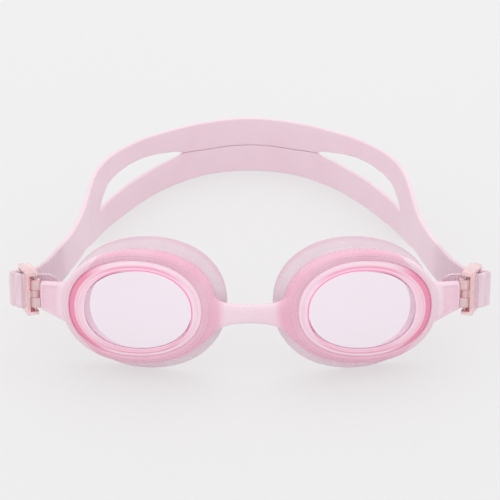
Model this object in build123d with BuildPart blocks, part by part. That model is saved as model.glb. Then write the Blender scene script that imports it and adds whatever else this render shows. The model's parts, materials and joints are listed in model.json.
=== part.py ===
"""Swim goggles with a split silicone strap, standing on their seals and on the strap's lower edge.

Millimetres, +Z up, +X to the wearer's left, the wearer faces -Y. The origin is on the floor,
under the middle of the whole object. Left and right are the wearer's. The left pieces are
made first, and the right ones are their mirror images.
"""

import os
from math import cos, pi, radians, sin

from build123d import *

os.makedirs("parts", exist_ok=True)

# ---------------------------------------------------------------- driving dimensions
lean = 13.0  # how far the face of the goggles leans back, degrees
wrap = 12.0  # how far each eye turns outwards, degrees
roll = -3.0  # how far each oval turns in its own plane, degrees
face_y = -84.6  # where the leaning face plane meets the floor
eye_x = 41.0  # half the distance between the eye centres
eye_height = 27.05  # up the leaning face
eye_front = 8.0  # how far the eye centres stand in front of the face plane
oval_power = 2.15  # a little squarer than an ellipse, whose power is 2
oval_points = 16  # points on each oval outline

glass_front = -0.9  # depths are measured back from the eye's own plane
glass_back = 1.2
seat_front = 1.5  # front of the lens's flange, under the lip of the frame
seat_back = 3.0
cup_back = 9.5  # where the lens's cup ends
rim_back = 8.0  # where the frame ends and the face seal begins
lip_back = 13.8  # the face seal's own back edge
play = 0.05  # between moulded pieces that sit in one another

bridge_height = 7.0
bridge_thick = 3.8
bridge_centre = 26.2  # up the leaning face
arm_end_x = 77.2
arm_thick = 4.4
arm_top = 34.4  # up the leaning face
arm_low_end = 23.9
arm_low_root = 17.0
tongue_length = 5.2  # across the face
tongue_height = 8.6
tongue_thick = 1.6
tongue_middle = (arm_end_x - 2.35, 29.15, -4.6)  # across, up and in front of the face plane

pin_x = 79.4
pin_back = 5.4  # hinge pin, behind the face plane
pin_radius = 0.6
pin_length = 15.2
pin_play = 0.05
knuckle_radius = 1.9
knuckle_height = 3.7
knuckle_lows = (-5.2, 1.5)  # along the pin, from the buckle's middle
buckle_turn = 20.0  # the buckle opens outwards from straight back, degrees
buckle_length = 15.3
buckle_height = 16.0
buckle_thick = 4.4
buckle_wall = 1.2
buckle_centre = 29.8  # up the leaning face
buckle_nose = 1.8  # from the hinge pin to the buckle's front edge
buckle_inside = 1.2  # from the hinge pin to the buckle's inner side
bar = 1.8  # rear bar, along the buckle

strap_thick = 1.8
strap_width = 13.2
seam = 0.3  # the slit between the two bands, and the gap at the cut by each buckle

# The strap's centre line on the left, from the buckle to the middle of the back:
# across, behind the face line, lower edge, upper edge.
strap_stations = (
    (81.2, 21.8, 19.0, 32.1),
    (76.6, 32.0, 17.3, 31.2),
    (73.0, 44.0, 15.6, 30.7),
    (69.9, 60.0, 13.6, 28.8),
    (67.5, 78.0, 10.6, 28.4),
    (65.9, 97.5, 4.0, 30.6),
    (63.7, 113.0, 0.4, 31.2),
    (57.8, 126.5, 0.0, 31.9),
    (47.6, 144.7, 0.0, 29.9),
    (36.4, 159.3, 0.0, 27.5),
    (20.0, 172.0, 0.0, 26.1),
    (0.0, 176.5, 0.0, 26.2),
)
last_station = len(strap_stations) - 1
cut_station = 2  # the strap's end in the buckle stops here
# The slot between the two bands: station number, lower edge, upper edge.
slot_stations = (
    (5.7, 12.0, 12.3),
    (6.0, 11.2, 15.6),
    (6.5, 12.0, 20.4),
    (7.0, 12.5, 22.0),
    (7.5, 12.8, 22.1),
    (8.0, 12.7, 21.0),
    (8.5, 12.6, 19.2),
    (9.0, 12.9, 16.8),
    (9.3, 13.1, 13.4),
    (10.0, 12.4, 12.7),
    (11.0, 13.0, 13.3),
)

# ---------------------------------------------------------------- planes
# In face: x across, y up the lean, z to the front. In eye: x to the temple, y up, z to the front.
face = Plane(
    origin=(0, face_y, 0),
    x_dir=(1, 0, 0),
    z_dir=(0, -cos(radians(lean)), sin(radians(lean))),
)
eye = Plane(face.location * Location((eye_x, eye_height, eye_front), (0, wrap, 0)))
# In hinge: x to the front along the buckle, y outwards, z up the pin.
hinge = Plane(
    origin=face.from_local_coords((pin_x, buckle_centre, -pin_back)),
    x_dir=face.z_dir * cos(radians(buckle_turn)) - face.x_dir * sin(radians(buckle_turn)),
    z_dir=face.y_dir,
)


def oval(depth, half_width, half_height, across=0.0, up=0.0):
    """Draws one closed oval face on the eye's plane, at a depth behind its front."""
    points = []
    for index in range(oval_points):
        turn = 2 * pi * index / oval_points
        c, s = cos(turn), sin(turn)
        u = half_width * abs(c) ** (2 / oval_power) * (1 if c > 0 else -1)
        v = half_height * abs(s) ** (2 / oval_power) * (1 if s > 0 else -1)
        tilt = radians(roll)
        points.append((u * cos(tilt) - v * sin(tilt) + across, u * sin(tilt) + v * cos(tilt) + up))
    with BuildSketch(eye.offset(-depth)) as outline:
        with BuildLine():
            Spline(*points, periodic=True)
        make_face()
    return outline.sketch


def strap_line():
    """The strap's plan curve through its stations, on the floor."""
    points = [(x, face_y + back) for x, back, low, high in strap_stations]
    with BuildLine() as line:
        Spline(*points, tangents=((-0.25, 1), (-1, 0)))
    return line.edge()


plan = strap_line()
strap_edges = [(index, low, high) for index, (x, back, low, high) in enumerate(strap_stations)]


def station_share(number, further=0.0):
    """How far along the plan curve, 0 to 1, a station or a place between two lies, and a little further."""
    whole = min(int(number), len(strap_stations) - 2)
    shares = []
    for index in (whole, whole + 1):
        x, back, low, high = strap_stations[index]
        shares.append(plan.param_at_point((x, face_y + back)))
    return shares[0] + (shares[1] - shares[0]) * (number - whole) + further / plan.length


def between(table, number):
    """The values of a table of (number, value, value ...) rows at a place between two rows."""
    for before, after in zip(table, table[1:]):
        if before[0] <= number <= after[0]:
            share = (number - before[0]) / (after[0] - before[0])
            return [a + (b - a) * share for a, b in zip(before[1:], after[1:])]
    return list(table[-1][1:])


def strap_section(number, edges, thick, further=0.0):
    """One upright rectangle across the strap at a station, between its lower and upper edges."""
    share = station_share(number, further)
    along = plan.tangent_at(share)
    place = plan.position_at(share)
    low, high = between(edges, number)
    section = Plane(
        origin=(place.X, place.Y, (low + high) / 2),
        x_dir=(along.Y, -along.X, 0),
        z_dir=along,
    )
    with BuildSketch(section) as outline:
        Rectangle(thick, high - low)
    return outline.sketch


def steps(first, last, size):
    """Even steps from first to last."""
    count = round((last - first) / size)
    return [first + (last - first) * index / count for index in range(count + 1)]


def mirrored(part):
    """The other side's twin of a piece."""
    with BuildPart() as twin:
        mirror(part, about=Plane.YZ)
    return twin.part


def save(part, name):
    part.label = name
    export_step(part, f"parts/{name}.step")


# ---------------------------------------------------------------- lens
# A rigid cup: a flat front glass, a bevel round it, a flange that the frame grips, and a wall
# that runs back inside the frame to the face seal.
with BuildPart() as left_lens:
    loft(
        [
            oval(glass_front, 21.0, 15.4),
            oval(0.5, 24.4, 17.6, 0.8, 0.3),
            oval(seat_front, 25.4, 18.4, 1.0, 0.4),
            oval(seat_back, 25.4, 18.4, 1.0, 0.4),
        ],
        ruled=True,
    )
    loft([oval(seat_back, 22.9, 17.2), oval(cup_back, 23.0, 17.9, -1.3, -1.2)], ruled=True)
    loft(
        [oval(glass_back, 20.6, 15.0), oval(cup_back, 21.4, 16.2, -1.3, -1.2)],
        ruled=True,
        mode=Mode.SUBTRACT,
    )

# ---------------------------------------------------------------- soft frame
# Two rims, the nose bridge between them and an arm at each temple, moulded in one piece.
with BuildPart() as left_frame:
    loft(
        [
            oval(0.7, 26.6, 19.6, 1.0, 0.4),
            oval(1.7, 28.2, 21.0, 0.7, 0.3),
            oval(3.4, 28.8, 21.6, 0.4, 0.2),
            oval(rim_back, 28.2, 21.2),
        ],
        ruled=True,
    )
    with BuildSketch(face.offset(7.4)):
        with BuildLine():
            top_in = (0, bridge_centre + bridge_height / 2)
            low_in = (0, bridge_centre - bridge_height / 2)
            top_out = (15.5, bridge_centre + 9.5)
            low_out = (15.5, bridge_centre - 10.5)
            Spline(top_in, top_out, tangents=((1, 0), (0.55, 1)))
            Line(top_out, low_out)
            Spline(low_out, low_in, tangents=((-0.6, 1), (-1, 0)))
            Line(low_in, top_in)
        make_face()
    extrude(amount=bridge_thick)
    arm_sections = []
    for x, front, low, high, thick in (
        (64.0, -2.2, arm_low_root, 35.2, 5.0),
        (70.5, -3.5, 19.0, arm_top, 4.8),
        (arm_end_x, -5.0, arm_low_end, arm_top, arm_thick),
    ):
        across = Plane(
            origin=face.from_local_coords((x, (low + high) / 2, front)),
            x_dir=face.z_dir,
            z_dir=face.x_dir,
        )
        with BuildSketch(across, mode=Mode.PRIVATE) as arm_section:
            Rectangle(thick, high - low)
            fillet(arm_section.vertices(), 1.2)
        arm_sections.append(arm_section.sketch)
    loft(arm_sections, ruled=True)
    loft(
        [
            oval(-1.0, 25.4 + play, 18.4 + play, 1.0, 0.4),
            oval(seat_back + play, 25.4 + play, 18.4 + play, 1.0, 0.4),
        ],
        ruled=True,
        mode=Mode.SUBTRACT,
    )
    loft(
        [
            oval(seat_back, 22.9 + play, 17.2 + play),
            oval(cup_back, 23.0 + play, 17.9 + play, -1.3, -1.2),
        ],
        ruled=True,
        mode=Mode.SUBTRACT,
    )
    with Locations(face.location * Location(tongue_middle)):
        Box(tongue_length + 2 * play, tongue_height + 2 * play, tongue_thick + 2 * play, mode=Mode.SUBTRACT)

with BuildPart() as frame:
    add(left_frame.part)
    mirror(left_frame.part, about=Plane.YZ)

# ---------------------------------------------------------------- face seal
# A softer skirt behind the rim that spreads into the lip that meets the skin.
with BuildPart() as left_seal:
    loft(
        [
            oval(rim_back + play, 27.8, 20.9),
            oval(10.6, 29.3, 23.3, -0.6, -0.5),
            oval(12.8, 30.5, 25.0, -1.0, -0.9),
            oval(lip_back, 30.1, 24.6, -1.1, -0.9),
        ],
        ruled=True,
    )
    loft(
        [
            oval(rim_back - 0.5, 23.2 + play, 17.9 + play, -1.0, -0.9),
            oval(cup_back + 0.1, 23.3 + play, 18.1 + play, -1.3, -1.2),
            oval(lip_back + 0.5, 26.0, 20.4, -1.2, -1.0),
        ],
        ruled=True,
        mode=Mode.SUBTRACT,
    )

# ---------------------------------------------------------------- hinge tongue
# A hard plate moulded into the end of the arm, with two knuckles on the hinge pin.
with BuildPart() as left_tongue:
    with Locations(face.location * Location(tongue_middle)):
        Box(tongue_length, tongue_height, tongue_thick)
    for level in knuckle_lows:
        with BuildSketch(hinge.offset(level)):
            Circle(knuckle_radius)
        extrude(amount=knuckle_height)
        with Locations(face.location * Location((78.35, buckle_centre + level + knuckle_height / 2, -5.2))):
            Box(2.2, knuckle_height, 3.2)
    with BuildSketch(hinge.offset(-9.0)):
        Circle(pin_radius + pin_play)
    extrude(amount=pin_length + 2.8, mode=Mode.SUBTRACT)

# ---------------------------------------------------------------- hinge pin
with BuildPart() as left_pin:
    with BuildSketch(hinge.offset(-pin_length / 2)):
        Circle(pin_radius)
    extrude(amount=pin_length)

# ---------------------------------------------------------------- buckle
# A window with a middle bar for the strap, an outer cheek by the hinge, and one knuckle
# between the tongue's two.
half_height = buckle_height / 2
with BuildPart() as left_buckle:
    for level in (-half_height, half_height - buckle_wall):
        with BuildSketch(hinge.offset(level)):
            with Locations((buckle_nose - buckle_length / 2, buckle_thick / 2 - buckle_inside)):
                RectangleRounded(buckle_length, buckle_thick, 0.9)
        extrude(amount=buckle_wall)
    for low_x, high_x, low_y, high_y in (
        (-3.0, buckle_nose, 2.2, 3.2),
        (-8.6, -5.6, 0.2, 2.2),
        (buckle_nose - buckle_length, buckle_nose - buckle_length + bar, 0.6, 3.2),
    ):
        with BuildSketch(hinge.offset(-half_height + 0.4)):
            with Locations(((low_x + high_x) / 2, (low_y + high_y) / 2)):
                Rectangle(high_x - low_x, high_y - low_y)
        extrude(amount=buckle_height - 0.8)
    with BuildSketch(hinge.offset(-1.4)):
        Circle(1.7)
        with Locations((0, 1.3)):
            Rectangle(1.8, 2.2)
    extrude(amount=2.8)
    with BuildSketch(hinge.offset(-pin_length / 2)):
        Circle(pin_radius)
    extrude(amount=pin_length, mode=Mode.SUBTRACT)

# ---------------------------------------------------------------- strap end in the buckle
# The strap comes in from behind, goes out round the middle bar and back as a short tail.
with BuildPart() as left_strap_end:
    with BuildSketch(hinge.offset(-strap_width / 2)):
        with BuildLine():
            FilletPolyline(
                (-4.6, -10.5),
                (-4.2, 4.4),
                (-10.0, 7.0),
                (-10.0, -1.6),
                (-12.2, -3.4),
                radius=1.0,
            )
        trace(line_width=strap_thick)
    extrude(amount=strap_width)
    loft(
        [
            strap_section(number, strap_edges, strap_thick, -seam / 2 if number == cut_station else 0.0)
            for number in steps(0, cut_station, 0.25)
        ],
        ruled=True,
    )

# ---------------------------------------------------------------- strap
# One moulded band that is split in two round the back of the head.
with BuildPart() as left_strap:
    loft(
        [
            strap_section(number, strap_edges, strap_thick, seam / 2 if number == cut_station else 0.0)
            for number in steps(cut_station, last_station, 0.25)
        ],
        ruled=True,
    )
    loft(
        [
            strap_section(number, slot_stations, 3 * strap_thick)
            for number in steps(slot_stations[0][0], last_station, 0.2)
        ],
        ruled=True,
        mode=Mode.SUBTRACT,
    )

with BuildPart() as strap:
    add(left_strap.part)
    mirror(left_strap.part, about=Plane.YZ)

# ---------------------------------------------------------------- hand over
save(frame.part, "frame")
save(strap.part, "strap")
for name, piece in (
    ("lens", left_lens),
    ("face_seal", left_seal),
    ("tongue", left_tongue),
    ("hinge_pin", left_pin),
    ("buckle", left_buckle),
    ("strap_end", left_strap_end),
):
    save(piece.part, f"left_{name}")
    save(mirrored(piece.part), f"right_{name}")
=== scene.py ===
"""Looks for the swim goggles: soft moulded frame, tinted lens cups, face seals, buckles and split strap.

Shapes are worked out in millimetres on the planes of the CAD model and put into metres when a
mesh is made. Left is the wearer's left, at +X, and every right piece is a left piece mirrored.
"""

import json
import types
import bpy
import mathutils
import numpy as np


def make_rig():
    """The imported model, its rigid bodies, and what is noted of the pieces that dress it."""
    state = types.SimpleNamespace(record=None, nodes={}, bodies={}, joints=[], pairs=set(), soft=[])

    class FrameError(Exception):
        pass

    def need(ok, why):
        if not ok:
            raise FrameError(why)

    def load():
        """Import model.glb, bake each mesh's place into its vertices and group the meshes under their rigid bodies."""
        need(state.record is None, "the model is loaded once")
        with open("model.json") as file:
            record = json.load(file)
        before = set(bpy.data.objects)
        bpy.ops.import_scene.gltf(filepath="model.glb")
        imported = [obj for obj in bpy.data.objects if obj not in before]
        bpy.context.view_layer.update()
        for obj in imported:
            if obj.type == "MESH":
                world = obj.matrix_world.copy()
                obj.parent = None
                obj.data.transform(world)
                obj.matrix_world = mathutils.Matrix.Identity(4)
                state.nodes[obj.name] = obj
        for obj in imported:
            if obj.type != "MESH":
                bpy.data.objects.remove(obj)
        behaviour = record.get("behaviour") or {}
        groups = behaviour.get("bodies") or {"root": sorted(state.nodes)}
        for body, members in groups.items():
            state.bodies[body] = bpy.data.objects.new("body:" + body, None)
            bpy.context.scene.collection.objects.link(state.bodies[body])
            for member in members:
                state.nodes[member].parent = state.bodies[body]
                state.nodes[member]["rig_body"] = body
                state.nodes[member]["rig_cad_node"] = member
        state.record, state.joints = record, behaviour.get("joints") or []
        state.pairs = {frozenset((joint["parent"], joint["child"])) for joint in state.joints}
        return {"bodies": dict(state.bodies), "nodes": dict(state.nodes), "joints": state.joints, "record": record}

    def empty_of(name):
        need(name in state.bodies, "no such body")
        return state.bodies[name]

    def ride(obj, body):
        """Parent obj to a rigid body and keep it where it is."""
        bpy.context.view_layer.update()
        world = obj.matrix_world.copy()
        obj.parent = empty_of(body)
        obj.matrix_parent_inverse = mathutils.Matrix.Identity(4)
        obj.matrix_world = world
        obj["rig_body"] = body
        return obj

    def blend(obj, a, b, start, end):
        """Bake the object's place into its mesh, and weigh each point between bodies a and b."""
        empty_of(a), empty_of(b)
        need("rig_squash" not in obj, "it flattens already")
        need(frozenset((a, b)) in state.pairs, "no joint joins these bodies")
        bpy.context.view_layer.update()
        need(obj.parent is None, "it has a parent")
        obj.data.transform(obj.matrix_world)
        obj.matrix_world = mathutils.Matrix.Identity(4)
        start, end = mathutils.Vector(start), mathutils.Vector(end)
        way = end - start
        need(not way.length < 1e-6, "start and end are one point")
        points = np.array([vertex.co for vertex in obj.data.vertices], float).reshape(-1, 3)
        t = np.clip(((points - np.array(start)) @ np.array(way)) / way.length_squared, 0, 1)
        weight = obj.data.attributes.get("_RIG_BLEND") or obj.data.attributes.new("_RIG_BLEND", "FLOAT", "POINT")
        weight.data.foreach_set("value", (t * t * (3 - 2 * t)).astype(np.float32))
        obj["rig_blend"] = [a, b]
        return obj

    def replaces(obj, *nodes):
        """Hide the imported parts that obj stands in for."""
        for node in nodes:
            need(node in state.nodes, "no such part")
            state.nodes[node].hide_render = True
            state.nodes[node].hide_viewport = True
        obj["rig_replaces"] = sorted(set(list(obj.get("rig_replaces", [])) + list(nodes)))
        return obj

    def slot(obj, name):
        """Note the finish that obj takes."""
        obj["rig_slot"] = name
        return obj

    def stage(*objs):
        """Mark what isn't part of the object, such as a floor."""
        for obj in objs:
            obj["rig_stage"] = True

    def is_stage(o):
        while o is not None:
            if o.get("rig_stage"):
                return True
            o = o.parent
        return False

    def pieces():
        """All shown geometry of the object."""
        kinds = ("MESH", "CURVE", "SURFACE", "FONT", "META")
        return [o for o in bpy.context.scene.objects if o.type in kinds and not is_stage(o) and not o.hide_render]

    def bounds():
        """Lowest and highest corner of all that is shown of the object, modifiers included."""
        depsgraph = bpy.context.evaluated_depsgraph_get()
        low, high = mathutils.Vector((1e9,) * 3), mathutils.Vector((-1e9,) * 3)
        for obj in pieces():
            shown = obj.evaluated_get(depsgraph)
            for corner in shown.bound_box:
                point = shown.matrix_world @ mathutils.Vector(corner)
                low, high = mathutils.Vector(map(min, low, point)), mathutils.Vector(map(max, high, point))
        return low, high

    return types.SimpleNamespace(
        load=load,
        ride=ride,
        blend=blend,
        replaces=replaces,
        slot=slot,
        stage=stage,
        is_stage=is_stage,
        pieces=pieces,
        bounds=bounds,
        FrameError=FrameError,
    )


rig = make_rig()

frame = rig.load()

import json
from math import cos, pi, radians, sin

import bmesh
import bpy
import numpy as np
from mathutils import Vector

cad_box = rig.bounds()

# ---------------------------------------------------------------- sizes, millimetres
mm = 0.001
lean = radians(13.0)
wrap = radians(12.0)
roll = radians(-3.0)
buckle_turn = radians(20.0)
face_y = -84.6
eye_place = (41.0, 27.05, 8.0)
hinge_place = (79.4, 29.8, -5.4)
oval_power = 2.15
strap_thick = 1.8
strap_half_width = 6.6
strap_edge_round = 0.65
slot_edge_round = 0.5
tail_round = 4.8  # how rounded the strap's loose end is
seam_share = 0.45  # how far up the strap its two bands meet where the slot is shut
frame_grain = 0.36  # size of the faces on the soft frame
glass_oval = (20.5, 15.0)  # half width and half height of the front glass
flange_oval = (25.3, 18.3)  # the same for the lens flange
flange_shift = (1.0, 0.4)  # how far the flange's centre is across and up
rim_oval = (28.8, 21.6)  # the same for the widest line of the rim
panel_depth = 0.6
rib_height = 0.35

# ---------------------------------------------------------------- planes
# A plane is an origin and three rows: its own x, y and z directions.


def plane(origin, across, up, front):
    """A plane from its origin and the directions of its x, y and z."""
    return np.array(origin, float), np.array([across, up, front], float)


def on(spot, points):
    """World places of points given on a plane: origin plus each coordinate times its direction."""
    origin, rows = spot
    return origin + np.asarray(points, float) @ rows


face = plane((0, face_y, 0), (1, 0, 0), (0, sin(lean), cos(lean)), (0, -cos(lean), sin(lean)))
face_x, face_up, face_front = face[1]
eye = plane(
    on(face, eye_place),
    face_x * cos(wrap) - face_front * sin(wrap),
    face_up,
    face_x * sin(wrap) + face_front * cos(wrap),
)
hinge = plane(
    on(face, hinge_place),
    face_front * cos(buckle_turn) - face_x * sin(buckle_turn),
    face_x * cos(buckle_turn) + face_front * sin(buckle_turn),
    face_up,
)


# ---------------------------------------------------------------- curves
def softened(rows, reach, steps=5):
    """A run of rows with its corners rounded: each corner becomes a quadratic curve that starts and
    ends its own reach away from the corner, with one more row just before and after it."""
    rows = np.asarray(rows, float)
    made = [rows[:1]]
    for before, corner, after, size in zip(rows, rows[1:], rows[2:], reach[1:]):
        if size == 0:
            made.append(corner[None])
            continue
        back, ahead = before - corner, after - corner
        back_length, ahead_length = np.linalg.norm(back), np.linalg.norm(ahead)
        size = min(size, 0.45 * back_length, 0.45 * ahead_length)
        start = corner + back / back_length * size
        end = corner + ahead / ahead_length * size
        share = np.linspace(0, 1, steps)[:, None]
        curve = (1 - share) ** 2 * start + 2 * share * (1 - share) * corner + share**2 * end
        just_before = corner + (start - corner) * 1.15
        just_after = corner + (end - corner) * 1.15
        made += [just_before[None], curve, just_after[None]]
    made.append(rows[-1:])
    return np.concatenate(made)


def closed_loop(rows, reach, steps=4):
    """A closed profile with every corner rounded by the same reach."""
    rows = np.asarray(rows, float)
    ring = np.concatenate([rows[-1:], rows, rows[:1]])
    rounded = softened(ring, (reach,) * (len(rows) + 1), steps)
    return rounded[1:-1]


def through(rows, places):
    """A smooth curve through rows, read at places counted in rows: the Catmull-Rom cubic, which leaves
    each row parallel to the line between its two neighbours."""
    rows = np.asarray(rows, float)
    rows = np.concatenate([2 * rows[:1] - rows[1:2], rows, 2 * rows[-1:] - rows[-2:-1]])
    whole = np.clip(np.floor(places).astype(int), 0, len(rows) - 4)
    t = (places - whole)[:, None]
    a, b, c, d = (rows[whole + shift] for shift in range(4))
    return 0.5 * (2 * b + (c - a) * t + (2 * a - 5 * b + 4 * c - d) * t**2 + (3 * b - a - 3 * c + d) * t**3)


def smoothstep(low, high, value):
    """A soft step from 0 at low to 1 at high: with t the share of the way, t squared times 3 minus 2t."""
    share = np.clip((value - low) / (high - low), 0, 1)
    return share * share * (3 - 2 * share)


# ---------------------------------------------------------------- meshes
def make_mesh(name, points, faces, weld=0.002):
    """A closed mesh object from points in millimetres and four-cornered faces. Points closer than
    weld become one, which closes poles and seams, and the faces are turned outwards."""
    mesh = bpy.data.meshes.new(name)
    mesh.vertices.add(len(points))
    mesh.vertices.foreach_set("co", (np.asarray(points) * mm).astype(np.float32).ravel())
    mesh.loops.add(faces.size)
    mesh.loops.foreach_set("vertex_index", faces.astype(np.int32).ravel())
    mesh.polygons.add(len(faces))
    mesh.polygons.foreach_set("loop_start", np.arange(0, faces.size, 4, dtype=np.int32))
    mesh.update(calc_edges=True)
    made = bmesh.new()
    made.from_mesh(mesh)
    bmesh.ops.remove_doubles(made, verts=made.verts, dist=weld * mm)
    bmesh.ops.dissolve_degenerate(made, edges=made.edges, dist=0.2 * weld * mm)
    bmesh.ops.recalc_face_normals(made, faces=made.faces)
    made.to_mesh(mesh)
    made.free()
    mesh.polygons.foreach_set("use_smooth", np.ones(len(mesh.polygons), bool))
    mesh.set_sharp_from_angle(angle=radians(50))
    piece = bpy.data.objects.new(name, mesh)
    bpy.context.scene.collection.objects.link(piece)
    return piece


def grid_faces(rows, columns, close_rows=False):
    """Faces of a grid of points whose columns run round in a circle, and its rows too if closed."""
    row, column = np.meshgrid(np.arange(rows if close_rows else rows - 1), np.arange(columns), indexing="ij")
    next_row, next_column = (row + 1) % rows, (column + 1) % columns
    corners = (row * columns + column, row * columns + next_column)
    far = (next_row * columns + next_column, next_row * columns + column)
    return np.stack(corners + far, axis=-1).reshape(-1, 4)


def lofted(name, sections):
    """A closed body through closed sections, with each end closed by a pole at the section's middle."""
    sections = np.asarray(sections)
    first, last = (
        np.repeat(section.mean(axis=0)[None, None], sections.shape[1], axis=1)
        for section in (sections[0], sections[-1])
    )
    grid = np.concatenate([first, sections, last])
    return make_mesh(name, grid.reshape(-1, 3), grid_faces(*grid.shape[:2]))


def oval_grid(rows, columns=192, pull=None):
    """Places on the eye's plane for a profile carried round the goggles' oval. A row is the depth
    behind the front, half width, half height, and how far its centre is shifted across and up. The
    oval is a superellipse, cosine and sine raised to 2 over its power, turned by the roll."""
    turns = np.linspace(0, 2 * pi, columns, endpoint=False)
    depth, half_width, half_height, across, up = (column[:, None] for column in np.asarray(rows).T)
    u = half_width * np.sign(np.cos(turns)) * np.abs(np.cos(turns)) ** (2 / oval_power)
    v = half_height * np.sign(np.sin(turns)) * np.abs(np.sin(turns)) ** (2 / oval_power)
    if pull is not None:
        u, v = pull(u, v, turns, depth)
    x = u * cos(roll) - v * sin(roll) + across
    y = u * sin(roll) + v * cos(roll) + up
    return on(eye, np.stack([x, y, -depth + 0 * u], axis=-1))


def carried_round(name, rows, closed=True, pull=None):
    """A profile carried round the oval: a ring when it is closed, else a solid with a pole at each end."""
    grid = oval_grid(rows, pull=pull)
    return make_mesh(name, grid.reshape(-1, 3), grid_faces(*grid.shape[:2], close_rows=closed))


def superellipse(count, power):
    """A rounded square of half size 1 as points: cosine and sine raised to 2 over the power."""
    turns = np.linspace(0, 2 * pi, count, endpoint=False)
    c, s = np.cos(turns), np.sin(turns)
    return np.sign(c) * np.abs(c) ** (2 / power), np.sign(s) * np.abs(s) ** (2 / power)


def places_of(mesh):
    """A mesh's points in millimetres, as an array."""
    points = np.empty(len(mesh.vertices) * 3, np.float32)
    mesh.vertices.foreach_get("co", points)
    return points.reshape(-1, 3) / mm


def mark(piece, name, values):
    """Writes one number a point into the piece's mesh for its material to read."""
    layer = piece.data.attributes.new(name, "FLOAT", "POINT")
    layer.data.foreach_set("value", np.asarray(values, np.float32))


def modified(piece, **kinds):
    """Puts modifiers on a piece in the order given, applies them all and returns the piece."""
    for kind, values in kinds.items():
        modifier = piece.modifiers.new(kind, kind.upper())
        for key, value in values.items():
            setattr(modifier, key, value)
    shape = bpy.data.meshes.new_from_object(piece.evaluated_get(bpy.context.evaluated_depsgraph_get()))
    piece.modifiers.clear()
    piece.data = shape
    return piece


def mirrored(piece, name):
    """The other side's twin of a left piece: x changes sign, and each face is turned over to match."""
    mesh = piece.data.copy()
    mesh.name = name
    places = places_of(mesh) * mm * (-1, 1, 1)
    mesh.vertices.foreach_set("co", places.astype(np.float32).ravel())
    mesh.flip_normals()
    twin = bpy.data.objects.new(name, mesh)
    bpy.context.scene.collection.objects.link(twin)
    return twin


def oval_coordinates(points):
    """Where world points are on the left eye: across, up and depth on its plane, with the roll undone."""
    origin, rows = eye
    local = (points - origin) @ rows.T
    u = local[:, 0] * cos(roll) + local[:, 1] * sin(roll)
    v = -local[:, 0] * sin(roll) + local[:, 1] * cos(roll)
    return u, v, -local[:, 2]


def oval_level(u, v, half_width, half_height):
    """How far out a point is between the centre, 0, and an oval's line, 1."""
    return (np.abs(u / half_width) ** oval_power + np.abs(v / half_height) ** oval_power) ** (1 / oval_power)


# ---------------------------------------------------------------- material parts
def node_maker(tree):
    """Adds a node, sets its fields, and links or sets its inputs: a socket is linked, a value is set."""

    def add(kind, fields=None, **inputs):
        node = tree.nodes.new(kind)
        for key, value in (fields or {}).items():
            setattr(node, key, value)
        for key, value in inputs.items():
            numbered = key[0] == "i" and key[1:].isdigit()
            socket = node.inputs[int(key[1:]) if numbered else key.replace("_", " ")]
            if isinstance(value, bpy.types.NodeSocket):
                tree.links.new(value, socket)
            else:
                socket.default_value = value
        return node

    return add


def moulded_skin_group():
    """Shared by every moulded part: slow mottling of the tone, and the fine grain a mould leaves."""
    group = bpy.data.node_groups.new("moulded_skin", "ShaderNodeTree")
    for name, value in (("Mottle Scale", 60.0), ("Grain Scale", 900.0)):
        group.interface.new_socket(name, in_out="INPUT", socket_type="NodeSocketFloat").default_value = value
    for name in ("Mottle", "Grain"):
        group.interface.new_socket(name, in_out="OUTPUT", socket_type="NodeSocketFloat")
    add = node_maker(group)
    inside = add("NodeGroupInput")
    place = add("ShaderNodeTexCoord")
    mottle = add(
        "ShaderNodeTexNoise",
        Vector=place.outputs["Object"],
        Scale=inside.outputs["Mottle Scale"],
        Detail=3.0,
        Roughness=0.55,
    )
    grain = add(
        "ShaderNodeTexNoise",
        Vector=place.outputs["Object"],
        Scale=inside.outputs["Grain Scale"],
        Detail=4.0,
        Roughness=0.6,
    )
    spread = add("ShaderNodeMapRange", i0=mottle.outputs["Fac"], i1=0.35, i2=0.65, i3=0.0, i4=1.0)
    out = add("NodeGroupOutput")
    group.links.new(spread.outputs["Result"], out.inputs["Mottle"])
    group.links.new(grain.outputs["Fac"], out.inputs["Grain"])
    return group


def dust_group():
    """Shared by the silicone parts: sparse pale specks and lint, where the skin is a little duller."""
    group = bpy.data.node_groups.new("fine_dust", "ShaderNodeTree")
    group.interface.new_socket("Amount", in_out="INPUT", socket_type="NodeSocketFloat").default_value = 0.1
    group.interface.new_socket("Specks", in_out="OUTPUT", socket_type="NodeSocketFloat")
    add = node_maker(group)
    inside = add("NodeGroupInput")
    place = add("ShaderNodeTexCoord")
    cells = add("ShaderNodeTexVoronoi", Vector=place.outputs["Object"], Scale=420.0, Randomness=1.0)
    specks = add("ShaderNodeMapRange", i0=cells.outputs["Distance"], i1=0.05, i2=0.16, i3=1.0, i4=0.0)
    picked = add("ShaderNodeTexNoise", Vector=place.outputs["Object"], Scale=140.0, Detail=1.0)
    few = add("ShaderNodeMapRange", i0=picked.outputs["Fac"], i1=0.56, i2=0.66, i3=0.0, i4=1.0)
    both = add(
        "ShaderNodeMath",
        {"operation": "MULTIPLY"},
        i0=specks.outputs["Result"],
        i1=few.outputs["Result"],
    )
    scaled = add(
        "ShaderNodeMath",
        {"operation": "MULTIPLY"},
        i0=both.outputs["Value"],
        i1=inside.outputs["Amount"],
    )
    out = add("NodeGroupOutput")
    group.links.new(scaled.outputs["Value"], out.inputs["Specks"])
    return group


moulded_skin = moulded_skin_group()
fine_dust = dust_group()


def new_material(name):
    """An empty material and what adds its nodes."""
    material = bpy.data.materials.new(name)
    material.use_nodes = True
    material.node_tree.nodes.clear()
    return material, node_maker(material.node_tree)


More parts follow.
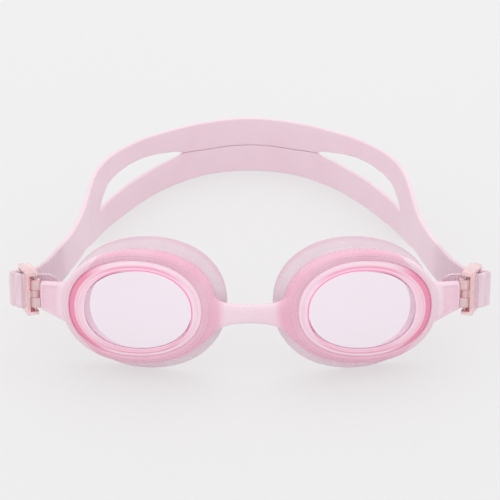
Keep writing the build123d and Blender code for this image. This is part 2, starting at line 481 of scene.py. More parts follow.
def finish_material(material, add, shader, absorb=None):
    """Sends the shader to the material's output, with a colour and a density that the inside absorbs."""
    out = add("ShaderNodeOutputMaterial", Surface=shader.outputs[0])
    if absorb is not None:
        colour, density = absorb
        volume = add("ShaderNodeVolumeAbsorption", Color=(*colour, 1.0), Density=density)
        material.node_tree.links.new(volume.outputs["Volume"], out.inputs["Volume"])
    return material


def silicone(name, pale, deep, clear, rough, lines=None, thick=None):
    """Soft silicone: two tones mixed by mottling, specks of dust, a fine skin, and lines that follow
    numbers marked on the mesh. Pale and deep are colours, clear is how much light goes straight
    through, and lines are the mark that they follow, their pitch and their height in metres."""
    material, add = new_material(name)
    skin = add("ShaderNodeGroup", {"node_tree": moulded_skin}, Mottle_Scale=60.0, Grain_Scale=900.0)
    dust = add("ShaderNodeGroup", {"node_tree": fine_dust}, Amount=0.12)
    amount = skin.outputs["Mottle"]
    # Painted light and shade: the thick mark deepens the tone as each piece lays it on, standing in for light run
    # through the silicone and shade in recesses.
    if thick is not None:
        marked = add("ShaderNodeAttribute", {"attribute_name": thick})
        little = add("ShaderNodeMath", {"operation": "MULTIPLY"}, i0=amount, i1=0.16)
        total = add(
            "ShaderNodeMath",
            {"operation": "ADD", "use_clamp": True},
            i0=marked.outputs["Fac"],
            i1=little.outputs["Value"],
        )
        amount = total.outputs["Value"]
    tone = add("ShaderNodeMix", {"data_type": "RGBA"}, i0=amount, i6=(*pale, 1.0), i7=(*deep, 1.0))
    dusty = add(
        "ShaderNodeMix",
        {"data_type": "RGBA"},
        i0=dust.outputs["Specks"],
        i6=tone.outputs[2],
        i7=(0.95, 0.9, 0.92, 1),
    )
    dull = add(
        "ShaderNodeMapRange",
        i0=skin.outputs["Grain"],
        i1=0.3,
        i2=0.7,
        i3=rough - 0.05,
        i4=rough + 0.06,
    )
    height = add("ShaderNodeMath", {"operation": "MULTIPLY"}, i0=skin.outputs["Grain"], i1=0.000002)
    if lines is not None:
        height = add_lines(add, height, *lines)
    bump = add("ShaderNodeBump", Strength=1.0, Distance=1.0, Height=height.outputs["Value"])
    shader = add(
        "ShaderNodeBsdfPrincipled",
        Base_Color=dusty.outputs[2],
        Roughness=dull.outputs["Result"],
        IOR=1.41,
        Transmission_Weight=clear,
        Normal=bump.outputs["Normal"],
    )
    return finish_material(material, add, shader)


def add_lines(add, height, mark_name, pitch, tall):
    """Adds lines to a height: a sine of the number marked on the mesh, shown where its mask is 1."""
    marked = add("ShaderNodeAttribute", {"attribute_name": mark_name})
    mask = add("ShaderNodeAttribute", {"attribute_name": mark_name + "_mask"})
    wave = add("ShaderNodeMath", {"operation": "MULTIPLY"}, i0=marked.outputs["Fac"], i1=2 * pi / pitch)
    lift = add("ShaderNodeMath", {"operation": "SINE"}, i0=wave.outputs["Value"])
    shown = add(
        "ShaderNodeMath",
        {"operation": "MULTIPLY"},
        i0=lift.outputs["Value"],
        i1=mask.outputs["Fac"],
    )
    return add(
        "ShaderNodeMath",
        {"operation": "MULTIPLY_ADD"},
        i0=shown.outputs["Value"],
        i1=tall,
        i2=height.outputs["Value"],
    )


def clear_plastic(name, clean, mottle_and_glow, rough, absorb, clear, bend=1.5, tint=None, glow=0.0):
    """Hard tinted plastic: clear, with a faint haze and flow marks from the mould. Where the mesh is marked,
    the colour is painted deeper, as light run a long way inside a wall would give, and the glow is painted light."""
    material, add = new_material(name)
    skin = add("ShaderNodeGroup", {"node_tree": moulded_skin}, Mottle_Scale=90.0, Grain_Scale=1200.0)
    share = add("ShaderNodeMath", {"operation": "MULTIPLY"}, i0=skin.outputs["Mottle"], i1=0.35)
    amount = share.outputs["Value"]
    if tint is not None:
        marked = add("ShaderNodeAttribute", {"attribute_name": tint})
        total = add(
            "ShaderNodeMath",
            {"operation": "MULTIPLY_ADD", "use_clamp": True},
            i0=skin.outputs["Mottle"],
            i1=0.08,
            i2=marked.outputs["Fac"],
        )
        amount = total.outputs["Value"]
    tone = add("ShaderNodeMix", {"data_type": "RGBA"}, i0=amount, i6=(*clean, 1.0), i7=(*mottle_and_glow, 1.0))
    dull = add("ShaderNodeMapRange", i0=skin.outputs["Grain"], i1=0.35, i2=0.75, i3=rough, i4=rough + 0.03)
    height = add("ShaderNodeMath", {"operation": "MULTIPLY"}, i0=skin.outputs["Mottle"], i1=0.000004)
    bump = add("ShaderNodeBump", Strength=1.0, Distance=1.0, Height=height.outputs["Value"])
    # Painted light: the emission gives the plastic a faint glow in its own tone, though it is no lamp.
    shader = add(
        "ShaderNodeBsdfPrincipled",
        Base_Color=tone.outputs[2],
        Roughness=dull.outputs["Result"],
        IOR=bend,
        Transmission_Weight=clear,
        Normal=bump.outputs["Normal"],
        Emission_Color=tone.outputs[2],
        Emission_Strength=glow,
    )
    return finish_material(material, add, shader, absorb)


def steel(name):
    """Drawn stainless wire: fine streaks round the pin vary its roughness and tone."""
    material, add = new_material(name)
    place = add("ShaderNodeTexCoord")
    stretch = add("ShaderNodeMapping", Vector=place.outputs["Object"], Scale=(3000.0, 3000.0, 200.0))
    streaks = add("ShaderNodeTexNoise", Vector=stretch.outputs["Vector"], Scale=1.0, Detail=4.0)
    tone = add(
        "ShaderNodeMix",
        {"data_type": "RGBA"},
        i0=streaks.outputs["Fac"],
        i6=(0.42, 0.40, 0.40, 1),
        i7=(0.62, 0.60, 0.60, 1),
    )
    dull = add("ShaderNodeMapRange", i0=streaks.outputs["Fac"], i1=0.3, i2=0.7, i3=0.22, i4=0.42)
    shader = add(
        "ShaderNodeBsdfPrincipled", Base_Color=tone.outputs[2], Roughness=dull.outputs["Result"], Metallic=1.0
    )
    return finish_material(material, add, shader)


frame_silicone = silicone(
    "frame_silicone",
    pale=(0.84, 0.685, 0.755),
    deep=(0.76, 0.345, 0.48),
    clear=0.0,
    rough=0.28,
    lines=("rim_band", 1.0, 0.00010),
    thick="thick",
)
seal_silicone = silicone(
    "seal_silicone",
    pale=(0.89, 0.775, 0.835),
    deep=(0.86, 0.56, 0.68),
    clear=0.35,
    rough=0.22,
    thick="thick",
)
strap_silicone = silicone(
    "strap_silicone",
    pale=(0.935, 0.735, 0.82),
    deep=(0.925, 0.705, 0.795),
    clear=0.15,
    rough=0.36,
    lines=("rib_run", 1.3, 0.00012),
)
lens_plastic = clear_plastic(
    "lens_plastic",
    clean=(1.0, 0.985, 0.995),
    mottle_and_glow=(1.0, 0.97, 0.985),
    rough=0.0,
    absorb=((1.0, 0.25, 0.98), 45.0),
    clear=0.95,
    glow=0.02,
)
# Its deep colour is painted light, laid on where the lens is marked with bands.
lens_ring_plastic = clear_plastic(
    "lens_ring_plastic",
    clean=(0.98, 0.825, 0.90),
    mottle_and_glow=(0.90, 0.31, 0.47),
    rough=0.06,
    absorb=((1.0, 0.25, 0.98), 45.0),
    tint="band",
    clear=0.22,
    glow=0.035,
)
buckle_plastic = clear_plastic(
    "buckle_plastic",
    clean=(0.99, 0.85, 0.86),
    mottle_and_glow=(0.96, 0.62, 0.66),
    rough=0.04,
    absorb=((1.0, 0.5, 0.6), 12.0),
    clear=0.5,
    bend=1.4,
    glow=0.03,
)
# Painted light and shade: the coral given to the buckle's bevelled edges and the faces that look in at its middle
# stands in for light run through the plastic's edges and shade inside the part.
buckle_edges = clear_plastic(
    "buckle_edges",
    clean=(0.93, 0.40, 0.46),
    mottle_and_glow=(0.90, 0.30, 0.37),
    rough=0.04,
    absorb=((1.0, 0.5, 0.6), 12.0),
    clear=0.3,
    bend=1.4,
    glow=0.03,
)
pin_steel = steel("pin_steel")


def finished(piece, material, body, stands_for, slot, also=None):
    """Gives a piece its material, its place in the frame's motion, and the CAD node that it stands for."""
    if material is not None:
        piece.data.materials.clear()
        piece.data.materials.append(material)
    if also is None:
        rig.ride(piece, body)
    else:
        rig.blend(piece, body, *also)
    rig.replaces(piece, *stands_for)
    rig.slot(piece, slot)


# ---------------------------------------------------------------- lens cups
# Depth, half width, half height, centre across and up; then how far each corner is rounded.
lens_profile = (
    (-0.9, 0.0, 0.0, 0.0, 0.0),
    (-0.9, 19.2, 13.95, 0.0, 0.0),
    (-0.9, 20.5, 15.0, 0.0, 0.0),
    (-0.62, 20.95, 15.32, 0.08, 0.03),
    (-0.3, 22.3, 16.22, 0.35, 0.12),
    (-0.05, 22.5, 16.36, 0.4, 0.13),
    (0.25, 23.6, 17.1, 0.6, 0.2),
    (0.5, 24.5, 17.7, 0.8, 0.3),
    (1.5, 25.3, 18.3, 1.0, 0.4),
    (2.95, 25.3, 18.3, 1.0, 0.4),
    (3.0, 21.9, 16.3, 0.0, 0.0),
    (9.45, 22.8, 17.6, -1.3, -1.2),
    (9.45, 21.6, 16.4, -1.3, -1.2),
    (2.0, 20.7, 15.1, 0.0, 0.0),
    (1.9, 20.25, 14.65, 0.0, 0.0),
    (1.2, 20.1, 14.5, 0.0, 0.0),
    (1.2, 0.0, 0.0, 0.0, 0.0),
)
lens_reach = (0, 0, 0.2, 0.12, 0.15, 0.12, 0.2, 0.3, 0.4, 0.3, 0.4, 0.4, 0.4, 0.2, 0.2, 0.3, 0)


def finely(rows, step):
    """The same profile with rows added in straight lines, so that no gap outside the glass is longer
    than the step."""
    made = [rows[:1]]
    for before, after in zip(rows, rows[1:]):
        gap = np.linalg.norm((after - before)[:2])
        count = max(1, int(np.ceil(gap / step))) if min(before[1], after[1]) > 19.1 else 1
        share = np.linspace(0, 1, count + 1)[1:, None]
        made.append(before + (after - before) * share)
    return np.concatenate(made)


def make_lens(name):
    """A flat front glass with a stepped bevel and a flange round it, on a cup wall that runs back.
    Bands are marked round the glass, where light that runs inside the plastic comes out."""
    rows = softened(lens_profile, lens_reach, 6)
    piece = carried_round(name, finely(rows, 0.2), closed=False)
    points = places_of(piece.data)
    u, v, depth = oval_coordinates(points)
    mark(piece, "band", painted_lens_light(u, v, depth))
    piece.data.materials.append(lens_plastic)
    piece.data.materials.append(lens_ring_plastic)
    centres = np.empty(len(piece.data.polygons) * 3, np.float32)
    piece.data.polygons.foreach_get("center", centres)
    u, v, depth = oval_coordinates(centres.reshape(-1, 3) / mm)
    level = oval_level(u, v, *glass_oval)
    turn = np.arctan2(v / glass_oval[1], u / glass_oval[0])
    below = smoothstep(-0.34, 0.5, np.cos(turn + radians(50)))
    ring = (level > 1.03) | (depth > 2.05) | ((level > 1.0 - 0.045 * below) & (depth < 1.1))
    piece.data.polygons.foreach_set("material_index", ring.astype(np.int32))
    return piece


def bump_at(value, centre, half_width):
    """A soft bump: 1 at the centre, 0 beyond its half width."""
    return 1 - smoothstep(0.0, 1.0, np.abs(value - centre) / half_width)


def painted_lens_light(u, v, depth):
    """How deep the painted colour is, from 0 to 1: painted light, standing in for the light that runs inside
    the plastic, as bands counted from the glass's edge, 0, to the flange's edge, 1: a fine line at the glass,
    a wider band above and below, and a broad arc at the temple."""
    inner = oval_level(u, v, *glass_oval)
    outer = oval_level(u - flange_shift[0], v - flange_shift[1], *flange_oval)
    out = (inner - 1).clip(0) / ((inner - 1).clip(0) + (1 - outer).clip(0) + 1e-6)
    turn = np.arctan2(v / glass_oval[1], u / glass_oval[0])
    temple = smoothstep(0.35, 0.85, np.cos(turn))
    nose = smoothstep(0.45, 0.95, -np.cos(turn))
    above = smoothstep(-0.2, 0.6, np.sin(turn))
    line = 1.0 * bump_at(out, 0.06, 0.16) * (1 - 0.8 * temple) * (0.45 + 0.55 * np.maximum(above, nose))
    band = 0.75 * bump_at(out, 0.40, 0.24) * (1 - nose) * (1 - 0.75 * temple)
    fine = 0.35 * bump_at(out, 0.18, 0.06) * temple + 0.25 * bump_at(out, 0.40, 0.07) * temple
    fine += 0.3 * bump_at(out, 0.62, 0.07) * nose
    arc = 1.0 * smoothstep(0.50, 0.66, out) * temple
    edge = 0.12 * smoothstep(0.86, 0.98, out) * (1 - temple)
    front = smoothstep(2.9, 2.4, depth)
    side = 0.10 + 0.10 * smoothstep(3.0, 9.0, depth)
    return front * np.clip(0.06 + line + band + fine + arc + edge, 0, 1) + (1 - front) * side


# ---------------------------------------------------------------- face seals
seal_profile = (
    (8.10, 24.2, 18.9, -0.9, -0.8),
    (8.10, 27.7, 20.8, 0.0, 0.0),
    (9.3, 28.1, 21.4, -0.2, -0.2),
    (10.8, 29.3, 23.1, -0.6, -0.5),
    (12.4, 30.6, 25.0, -1.0, -0.9),
    (13.3, 30.7, 25.1, -1.1, -0.9),
    (13.7, 29.9, 24.4, -1.1, -0.9),
    (12.9, 28.3, 22.6, -1.1, -0.9),
    (11.6, 26.6, 20.9, -1.2, -1.0),
    (10.9, 24.3, 18.9, -1.3, -1.1),
    (9.6, 23.5, 18.35, -1.3, -1.2),
    (8.6, 23.5, 18.35, -1.1, -1.0),
)


def seal_pull(u, v, turns, depth):
    """The lip is drawn in by the nose below and let out above: two soft bumps round the oval that
    grow with the depth behind the frame."""
    spread = smoothstep(8.1, 12.4, depth)
    grow = 0.5 * np.clip(np.cos(turns - radians(120)), 0, 1) ** 3
    shrink = 1.5 * np.clip(np.cos(turns - radians(205)), 0, 1) ** 3
    length = np.hypot(u, v) + 1e-9
    change = 1 + spread * (grow - shrink) / length
    return u * change, v * change


def make_seal(name):
    """A soft skirt that spreads into a thin lip, hollowed on the side that meets the skin. The lip's
    edge is marked, where the light that runs inside the silicone comes out."""
    piece = carried_round(name, closed_loop(seal_profile, 0.5), closed=True, pull=seal_pull)
    u, v, depth = oval_coordinates(places_of(piece.data))
    level = oval_level(u + 1.0, v + 0.9, 30.7, 25.1)
    # Painted light: the lip's edge and the skirt's thick root get a deeper colour, standing in for light run through
    # the silicone.
    mark(piece, "thick", 0.05 + 0.6 * smoothstep(0.965, 0.99, level) + 0.35 * smoothstep(9.4, 8.6, depth))
    return piece


# ---------------------------------------------------------------- soft frame
rim_profile = (
    (0.6, 24.9, 17.95, 0.95, 0.38),
    (0.85, 27.0, 20.0, 0.9, 0.4),
    (1.7, 28.1, 20.9, 0.7, 0.3),
    (3.4, 28.8, 21.6, 0.4, 0.2),
    (5.6, 28.6, 21.5, 0.2, 0.1),
    (8.0, 28.1, 21.1, 0.0, 0.0),
    (8.0, 23.05, 17.8, -1.0, -0.9),
    (3.2, 22.2, 16.6, 0.0, 0.0),
    (3.2, 25.5, 18.5, 1.0, 0.4),
    (1.6, 24.95, 18.0, 1.0, 0.4),
)
# Sections across the arm: across the face, how far in front, lower edge, upper edge, thickness.
arm_sections = (
    (58.0, -0.2, 12.4, 39.4, 4.6),
    (61.0, -1.2, 14.8, 38.0, 4.8),
    (64.0, -2.2, 17.2, 36.2, 5.0),
    (67.3, -2.9, 19.2, 34.9, 4.9),
    (70.5, -3.5, 20.8, 34.4, 4.8),
    (74.0, -4.3, 22.6, 34.4, 4.6),
    (77.2, -5.0, 23.9, 34.4, 4.4),
)
# Sections across the bridge: across the face, how far in front, middle height, height, thickness.
bridge_sections = (
    (-16.4, 9.6, 25.6, 20.5, 4.6),
    (-14.0, 9.6, 25.7, 15.2, 4.3),
    (-11.0, 9.5, 25.9, 10.6, 4.0),
    (-7.0, 9.4, 26.1, 7.9, 3.8),
    (0.0, 9.3, 26.2, 7.0, 3.7),
    (7.0, 9.4, 26.1, 7.9, 3.8),
    (11.0, 9.5, 25.9, 10.6, 4.0),
    (14.0, 9.6, 25.7, 15.2, 4.3),
    (16.4, 9.6, 25.6, 20.5, 4.6),
)


# The lens seat, cut out of the arms.
seat_profile = (
    (-3.0, 0.0, 0.0, 1.0, 0.4),
    (-3.0, 25.6, 18.6, 1.0, 0.4),
    (3.2, 25.6, 18.6, 1.0, 0.4),
    (3.2, 23.1, 17.4, 0.0, 0.0),
    (12.0, 23.25, 18.0, -1.3, -1.2),
    (12.0, 0.0, 0.0, -1.3, -1.2),
)


def make_arm():
    """The arm at the temple: a rounded section that narrows from the rim to the hinge."""
    rows = through(arm_sections, np.linspace(0, len(arm_sections) - 1, 40))
    along, height = superellipse(48, 5.0)
    x, front, low, high, thick = (column[:, None] for column in rows.T)
    points = np.stack(
        [x + 0 * along, (low + high) / 2 + height * (high - low) / 2, front + along * thick / 2], axis=-1
    )
    return lofted("arm", on(face, points))


def make_bridge():
    """The nose bridge: a rounded section that spreads up and down into both rims."""
    rows = through(bridge_sections, np.linspace(0, len(bridge_sections) - 1, 64))
    along, height = superellipse(48, 3.2)
    x, front, middle, tall, thick = (column[:, None] for column in rows.T)
    points = np.stack([x + 0 * along, middle + height * tall / 2, front + along * thick / 2], axis=-1)
    return lofted("bridge", on(face, points))


def make_frame(name):
    """Rims, bridge and arms as one moulded piece. The lens seats are cut out of the arms, everything is
    joined by remeshing, and smoothing leaves a soft fillet where the pieces run together."""
    seat = carried_round("seat", seat_profile, closed=False)
    cut_away = {"operation": "DIFFERENCE", "object": seat, "solver": "EXACT"}
    arm = modified(make_arm(), boolean=cut_away)
    rim = carried_round("rim", closed_loop(rim_profile, 0.35))
    parts = [rim, arm, mirrored(rim, "rim_twin"), mirrored(arm, "arm_twin"), make_bridge()]
    whole = bmesh.new()
    for part in parts:
        whole.from_mesh(part.data)
    mesh = bpy.data.meshes.new(name)
    whole.to_mesh(mesh)
    whole.free()
    for part in parts + [seat]:
        bpy.data.objects.remove(part)
    piece = bpy.data.objects.new(name, mesh)
    bpy.context.scene.collection.objects.link(piece)
    modified(
        piece,
        remesh={"mode": "VOXEL", "voxel_size": frame_grain * mm, "use_smooth_shade": True},
        smooth={"factor": 0.5, "iterations": 14},
    )
    carve_frame(piece)
    return piece


def carve_frame(piece):
    """Presses the panel into the arm's front, raises the round rib beside the rim, and marks how far
    in from the rim's edge each point is, for the ridges in the material."""
    points = places_of(piece.data)
    normals = np.empty(len(points) * 3, np.float32)
    piece.data.vertices.foreach_get("normal", normals)
    normals = normals.reshape(-1, 3)
    side = np.sign(points[:, :1])
    to_left = np.concatenate([side, np.ones_like(side), np.ones_like(side)], axis=1)
    left = points * to_left
    facing = normals * to_left @ eye[1][2]
    front = smoothstep(0.3, 0.8, facing)
    local = (left - face[0]) @ face[1].T
    x, up = local[:, 0], local[:, 1]
    low = np.interp(x, [row[0] for row in arm_sections], [row[2] for row in arm_sections])
    high = np.interp(x, [row[0] for row in arm_sections], [row[3] for row in arm_sections])
    u, v, _ = oval_coordinates(left)
    level = (oval_level(u - 0.4, v - 0.2, *rim_oval) - 1) * 25.0
    panel = smoothstep(0.9, 1.5, up - low) * smoothstep(0.9, 1.5, high - up)
    panel *= smoothstep(1.9, 3.0, level) * (1 - smoothstep(76.0, 76.6, x)) * (x > 60)
    rib = smoothstep(-0.9, 0.4, level) * (1 - smoothstep(0.8, 1.9, level)) * (x > 60)
    rib *= smoothstep(-0.1, 1.0, up - low) * smoothstep(-0.1, 1.0, high - up)
    moved = points + normals * (rib_height * rib - panel_depth * panel)[:, None] * front[:, None]
    piece.data.vertices.foreach_set("co", (moved * mm).astype(np.float32).ravel())
    mark(piece, "rim_band", level)
    ridged = smoothstep(-3.6, -3.0, level) * (1 - smoothstep(-1.4, -0.8, level))
    mark(piece, "rim_band_mask", ridged * smoothstep(0.0, 0.35, facing))
    # Painted light and shade in the thick mark: a deeper pink near the rim, standing in for light run through the
    # thick silicone, painted shade in the pressed panel and a painted highlight on the raised rib.
    temple = smoothstep(50.0, 60.0, x)
    fade = 1 - smoothstep(0.6 - 3.6 * temple, 3.6 - 5.6 * temple, level)
    deep = 0.12 + 0.55 * fade * (0.75 + 0.25 * smoothstep(-2.5, -0.5, level))
    mark(piece, "thick", deep + front * (0.12 * panel - 0.12 * rib))
    piece.data.update()


# ---------------------------------------------------------------- strap
# Centre line from behind the buckle to the middle of the back: across, behind the face, lower and
# upper edge. The first rows are the loop through the buckle, on the hinge's own plane.
strap_stations = (
    (81.2, 21.8, 19.0, 32.1),
    (76.6, 32.0, 17.3, 31.2),
    (73.0, 44.0, 15.6, 30.7),
    (69.9, 60.0, 13.6, 28.8),
    (67.5, 78.0, 10.6, 28.4),
    (65.9, 97.5, 4.0, 30.6),
    (63.7, 113.0, 0.4, 31.2),
    (57.8, 126.5, 0.0, 31.9),
    (47.6, 144.7, 0.0, 29.9),
    (36.4, 159.3, 0.0, 27.5),
    (20.0, 172.0, 0.0, 26.1),
    (0.0, 176.5, 0.0, 26.2),
)
loop_corners = ((-4.6, -10.5, -1.4), (-4.2, 4.4, 0.0), (-10.0, 7.0, 0.0))
slot_stations = (
    (0.0, 12.0, 12.0),
    (5.75, 12.0, 12.0),
    (6.0, 11.2, 15.6),
    (6.5, 12.0, 20.4),
    (7.0, 12.5, 22.0),
    (7.5, 12.8, 22.1),
    (8.0, 12.7, 21.0),
    (8.5, 12.6, 19.2),
    (9.0, 13.0, 17.0),
    (9.2, 13.1, 16.1),
    (9.3, 13.3, 15.4),
    (9.36, 13.7, 14.8),
    (9.4, 14.1, 14.4),
    (9.6, 13.6, 13.9),
    (10.0, 12.6, 12.9),
    (11.0, 13.0, 13.3),
)


def strap_path():
    """The strap's lower and upper edge side by side, six numbers a row, and each row's station:
    straight runs with rounded corners through the buckle, then one smooth curve through the stations."""
    stations = [(x, face_y + back, low, x, face_y + back, high) for x, back, low, high in strap_stations]
    beyond = stations + [tuple(np.array(stations[-2]) * (-1, 1, 1, -1, 1, 1))]
    spacing = ((0.0, 2.6, 0.016), (2.6, 8.6, 0.05), (8.6, 9.8, 0.014), (9.8, 11.0, 0.05))
    fine = np.concatenate([np.arange(*run) for run in spacing] + [[11.0]])
    band = through(beyond, fine)
    loop = [
        np.concatenate([on(hinge, (x, y, drop + side)) for side in (-strap_half_width, strap_half_width)])
        for x, y, drop in loop_corners
    ]
    start = 6  # rows left out of the curve so that the last corner has room
    bend = softened(np.concatenate([loop, band[:1], band[start : start + 1]]), (0, 2.2, 2.4, 1.6), 9)
    spread = [bend[:1] + (bend[1:2] - bend[:1]) * share for share in np.linspace(0, 1, 14)[:-1]]
    rows = np.concatenate(spread + [bend[1:-1], band[start:]])
    stations_of = np.concatenate([np.full(len(rows) - len(band) + start, -1.0), fine[start:]])
    return rows, stations_of


def slot_edges(station, low, high, width):
    """How far above the strap's lower edge the slot's lower and upper edges are in each row."""
    table = np.array(slot_stations)
    kernel = np.hanning(9)
    kernel /= kernel.sum()
    for column in (1, 2):
        level = np.interp(station, table[:, 0], table[:, column])
        level = np.convolve(np.pad(level, 4, mode="edge"), kernel, mode="valid")
        yield (level - low[:, 2]) / (high[:, 2] - low[:, 2]) * width


def band_outline(start, end, half, soft, sign):
    """The outline of one band in every row, and the number of its last point before the wall by the
    slot. Each point is how far it is across and how far out: along the outer face, round the outer
    edge by quarter circles, back along the inner face, and round the edge at the slot."""
    inner, outer = start + sign * soft, end - sign * strap_edge_round
    flat = np.linspace(0, 1, 7)
    turn = np.linspace(0, pi / 2, 5)
    slot_turn = np.linspace(0, pi / 2, 4)
    drop = strap_edge_round * half / (strap_thick / 2)
    outline = [(inner + (outer - inner) * share, half) for share in flat]
    outline += [
        (outer + sign * strap_edge_round * sin(angle), half - drop * (1 - cos(angle))) for angle in turn[1:]
    ]
    outline += [
        (outer + sign * strap_edge_round * sin(angle), drop * (1 - cos(angle)) - half) for angle in turn[::-1]
    ]
    outline += [(inner + (outer - inner) * share, -half) for share in flat[-2::-1]]
    outline += [(inner - sign * soft * sin(angle), soft * (1 - cos(angle)) - half) for angle in slot_turn[1:]]
    wall = len(outline) - 1
    outline += [
        (inner - sign * soft * sin(angle), half - soft * (1 - cos(angle))) for angle in slot_turn[:0:-1]
    ]
    across, out = (np.array(column).T for column in zip(*outline))
    return across, out, wall


def make_strap(name):
    """Two bands side by side that are one band near the buckle. Each is a rounded strip carried along
    the path; where the slot between them is shut, their shared wall is left out and their edges weld.
    The half stays open in the middle of the back, where its twin carries on."""
    rows, station = strap_path()
    low, high = rows[:, :3], rows[:, 3:]
    middle_line = (low + high) / 2
    width = np.linalg.norm(high - low, axis=1)
    up = (high - low) / width[:, None]
    out = np.cross(np.gradient(middle_line, axis=0), up)
    out /= np.linalg.norm(out, axis=1)[:, None]
    slot_low, slot_high = slot_edges(station, low, high, width)
    slotted = smoothstep(4.6, 5.7, station) * (station >= 5.0)
    middle = seam_share * width * (1 - slotted) + (slot_low + slot_high) / 2 * slotted
    gap = np.where(station > 5.75, np.maximum(slot_high - slot_low, 0.0), 0.0)
    from_tip = np.linalg.norm(middle_line - middle_line[0], axis=1)
    half = strap_thick / 2 * (0.55 + 0.45 * smoothstep(0, 3.0, from_tip))
    short = np.clip(tail_round - from_tip, 0, tail_round)
    narrowed = np.where(station < 0, tail_round - np.sqrt(tail_round**2 - short**2), 0.0)
    soft = np.minimum(slot_edge_round, 0.45 * gap)
    points, faces, count = [], [], 0
    for sign in (1.0, -1.0):
        end = width - narrowed if sign > 0 else narrowed
        across, lift, wall = band_outline(middle + sign * gap / 2, end, half, soft, sign)
        grid = low[:, None] + up[:, None] * across[..., None] + out[:, None] * lift[..., None]
        columns = grid.shape[1]
        strip = grid_faces(len(grid), columns)
        row, column = strip[:, 0] // columns, strip[:, 0] % columns
        shut = (gap[row] <= 0) & (gap[row + 1] <= 0) & (column == wall)
        if sign > 0:
            strip = strip[:, ::-1]
        round_tip = np.arange(columns)
        centre = np.full(columns, grid.shape[0] * columns)
        tip_cap = np.stack([round_tip, np.roll(round_tip, -1), centre, centre], axis=-1)
        faces += [strip[~shut] + count, tip_cap[round_tip != wall] + count]
        points += [grid.reshape(-1, 3), (grid[0, :1] + grid[0, wall : wall + 1]) / 2]
        count += grid.shape[0] * columns + 1
    piece = make_mesh(name, np.concatenate(points), np.concatenate(faces), weld=0.004)
    steps = np.linalg.norm(np.diff(middle_line, axis=0), axis=1)
    mark_ribs(piece, middle_line, np.concatenate([[0], np.cumsum(steps)]), station)
    return piece


def mark_ribs(piece, middle_line, run, station):
    """Marks how far along the strap each point is, and where the ribs for the fingers are."""
    points = places_of(piece.data)
    nearest = np.empty(len(points), int)
    for start in range(0, len(points), 4000):
        gap = points[start : start + 4000, None, :2] - middle_line[None, :, :2]
        nearest[start : start + 4000] = np.argmin((gap**2).sum(axis=2), axis=1)
    where = station[nearest]
    mask = np.where(where < 0, 1.0, 1 - smoothstep(1.9, 2.4, where))
    mark(piece, "rib_run", run[nearest])
    mark(piece, "rib_run_mask", mask)


# ---------------------------------------------------------------- hard parts
def from_cad(name, node, edge):
    """A copy of a CAD part with its loose triangles joined, its flat faces whole and its edges rounded."""
    mesh = frame["nodes"][node].data.copy()
    mesh.name = name
    mesh.materials.clear()
    mesh.materials.append(buckle_plastic)
    mesh.materials.append(buckle_edges)
    made = bmesh.new()
    made.from_mesh(mesh)
    bmesh.ops.remove_doubles(made, verts=made.verts, dist=0.003 * mm)
    bmesh.ops.dissolve_limit(made, angle_limit=radians(1.0), verts=made.verts, edges=made.edges)
    made.to_mesh(mesh)
    made.free()
    piece = bpy.data.objects.new(name, mesh)
    bpy.context.scene.collection.objects.link(piece)
    # The bevel's faces take the painted edge colour of the second material.
    modified(
        piece,
        bevel={
            "width": edge * mm,
            "segments": 3,
            "limit_method": "ANGLE",
            "angle_limit": radians(35),
            "material": 1,
        },
    )
    mesh = piece.data
    mesh.polygons.foreach_set("use_smooth", np.ones(len(mesh.polygons), bool))
    mesh.set_sharp_from_angle(angle=radians(40))
    paint_inner_shade(mesh)
    return piece


def make_tongue(name):
    """The tongue that the buckle hangs from."""
    return from_cad(name, "left_tongue", 0.2)


def make_buckle(name):
    """The buckle's shell."""
    return from_cad(name, "left_buckle", 0.4)


def paint_inner_shade(mesh):
    """Paints the faces that look in at the part's middle with the deeper colour of its edges: painted shade inside the
    part.
    """
    centres, normals = (np.empty(len(mesh.polygons) * 3, np.float32) for _ in range(2))
    mesh.polygons.foreach_get("center", centres)
    mesh.polygons.foreach_get("normal", normals)
    centres, normals = centres.reshape(-1, 3), normals.reshape(-1, 3)
    inward = centres.mean(axis=0) - centres
    inward /= np.linalg.norm(inward, axis=1)[:, None] + 1e-9
    kinds = np.empty(len(mesh.polygons), np.int32)
    mesh.polygons.foreach_get("material_index", kinds)
    kinds[(normals * inward).sum(axis=1) > 0.25] = 1
    mesh.polygons.foreach_set("material_index", kinds)


def make_pin(name):
    """The hinge pin: a turned rod with domed ends, a circle carried along its axis."""
    rows = softened(((-7.6, 0.0), (-7.6, 0.57), (7.6, 0.57), (7.6, 0.0)), (0, 0.2, 0.2), 4)
    turns = np.linspace(0, 2 * pi, 32, endpoint=False)
    level, radius = rows[:, :1], rows[:, 1:]
    points = np.stack([radius * np.cos(turns), radius * np.sin(turns), level + 0 * turns], axis=-1)
    grid = on(hinge, points)
    return make_mesh(name, grid.reshape(-1, 3), grid_faces(*grid.shape[:2]))


# ---------------------------------------------------------------- put together
frame_piece = make_frame("soft_frame")
finished(frame_piece, frame_silicone, "frame", ["frame"], "frame_silicone")

# The strap follows the frame behind the first plane and the buckle in front of the second.
blend_start = (0.0, -0.030, 0.0)
blend_end = (0.0, -0.058, 0.0)
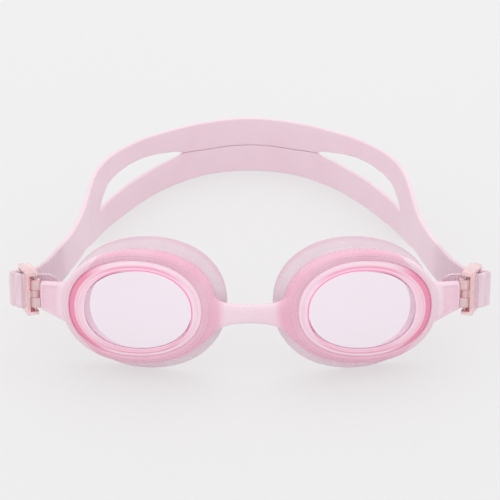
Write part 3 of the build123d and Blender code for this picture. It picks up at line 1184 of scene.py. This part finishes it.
# Each left piece with its material, its body, and the CAD node and slot that it fills.
left_pieces = {
    "lens_cup": (make_lens("left_lens_cup"), None, "frame", "lens", "lens_tint"),
    "seal_skirt": (make_seal("left_seal_skirt"), seal_silicone, "frame", "face_seal", "seal_silicone"),
    "tongue_plate": (make_tongue("left_tongue_plate"), None, "frame", "tongue", "clear_plastic"),
    "buckle_shell": (make_buckle("left_buckle_shell"), None, "buckle", "buckle", "clear_plastic"),
    "pin_rod": (make_pin("left_pin_rod"), pin_steel, "buckle", "hinge_pin", "pin_steel"),
    "strap_band": (make_strap("left_strap_band"), strap_silicone, "strap", "strap_end", "strap_silicone"),
}
for stem, (left_piece, material, body, node, slot) in left_pieces.items():
    right_piece = mirrored(left_piece, "right_" + stem)
    for side, piece in (("left", left_piece), ("right", right_piece)):
        if body == "strap":
            finished(
                piece,
                material,
                "frame",
                ["strap", f"{side}_{node}"],
                slot,
                also=(f"{side}_buckle", blend_start, blend_end),
            )
        else:
            rides = f"{side}_buckle" if body == "buckle" else body
            finished(piece, material, rides, [f"{side}_{node}"], slot)


# ---------------------------------------------------------------- floor, light and camera
def make_floor():
    """A pale matt table, lit a little from below, with a barely uneven tone."""
    mesh = bpy.data.meshes.new("floor")
    corners = [(-6, -6, 0), (6, -6, 0), (6, 6, 0), (-6, 6, 0)]
    mesh.from_pydata(corners, [], [(0, 1, 2, 3)])
    floor = bpy.data.objects.new("floor", mesh)
    bpy.context.scene.collection.objects.link(floor)
    material, add = new_material("pale_floor")
    place = add("ShaderNodeTexCoord")
    cloud = add("ShaderNodeTexNoise", Vector=place.outputs["Object"], Scale=4.0, Detail=2.0)
    tone = add(
        "ShaderNodeMix",
        {"data_type": "RGBA"},
        i0=cloud.outputs["Fac"],
        i6=(0.25, 0.248, 0.248, 1),
        i7=(0.26, 0.258, 0.258, 1),
    )
    shader = add(
        "ShaderNodeBsdfPrincipled",
        Base_Color=tone.outputs[2],
        Roughness=0.8,
        Emission_Color=(1.0, 0.993, 0.993, 1.0),
        Emission_Strength=0.537,
    )
    finish_material(material, add, shader)
    mesh.materials.append(material)
    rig.stage(floor)


def make_light(name, place, aim, size, power):
    """A round soft light that faces its aim."""
    light = bpy.data.lights.new(name, "AREA")
    light.shape = "DISK"
    light.size = size
    light.energy = power
    lamp = bpy.data.objects.new(name, light)
    bpy.context.scene.collection.objects.link(lamp)
    lamp.location = place
    lamp.rotation_euler = (Vector(aim) - Vector(place)).to_track_quat("-Z", "Y").to_euler()


make_floor()
world = bpy.data.worlds.new("studio")
bpy.context.scene.world = world
world.use_nodes = True
world.node_tree.nodes["Background"].inputs["Color"].default_value = (1.0, 1.0, 1.0, 1.0)
world.node_tree.nodes["Background"].inputs["Strength"].default_value = 1.08
make_light("top_light", (0.1, 0.45, 1.1), (0, 0.0, 0), 0.9, 1.6)
make_light("front_fill", (-0.7, -0.9, 0.7), (0, 0.0, 0.02), 0.8, 0.8)

camera = bpy.data.cameras.new("camera")
camera.sensor_width = 36.0
camera.lens = 123.1
eye_point = bpy.data.objects.new("camera", camera)
bpy.context.scene.collection.objects.link(eye_point)
eye_point.location = (0.0, -0.6224, 0.338)
eye_point.rotation_euler = (radians(62.0), 0.0, 0.0)
bpy.context.scene.camera = eye_point
bpy.context.scene.view_settings.view_transform = "Standard"

visual_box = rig.bounds()
json.dump(
    {"cad": [list(map(float, p)) for p in cad_box], "visual": [list(map(float, p)) for p in visual_box]},
    open("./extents.json", "w"),
)
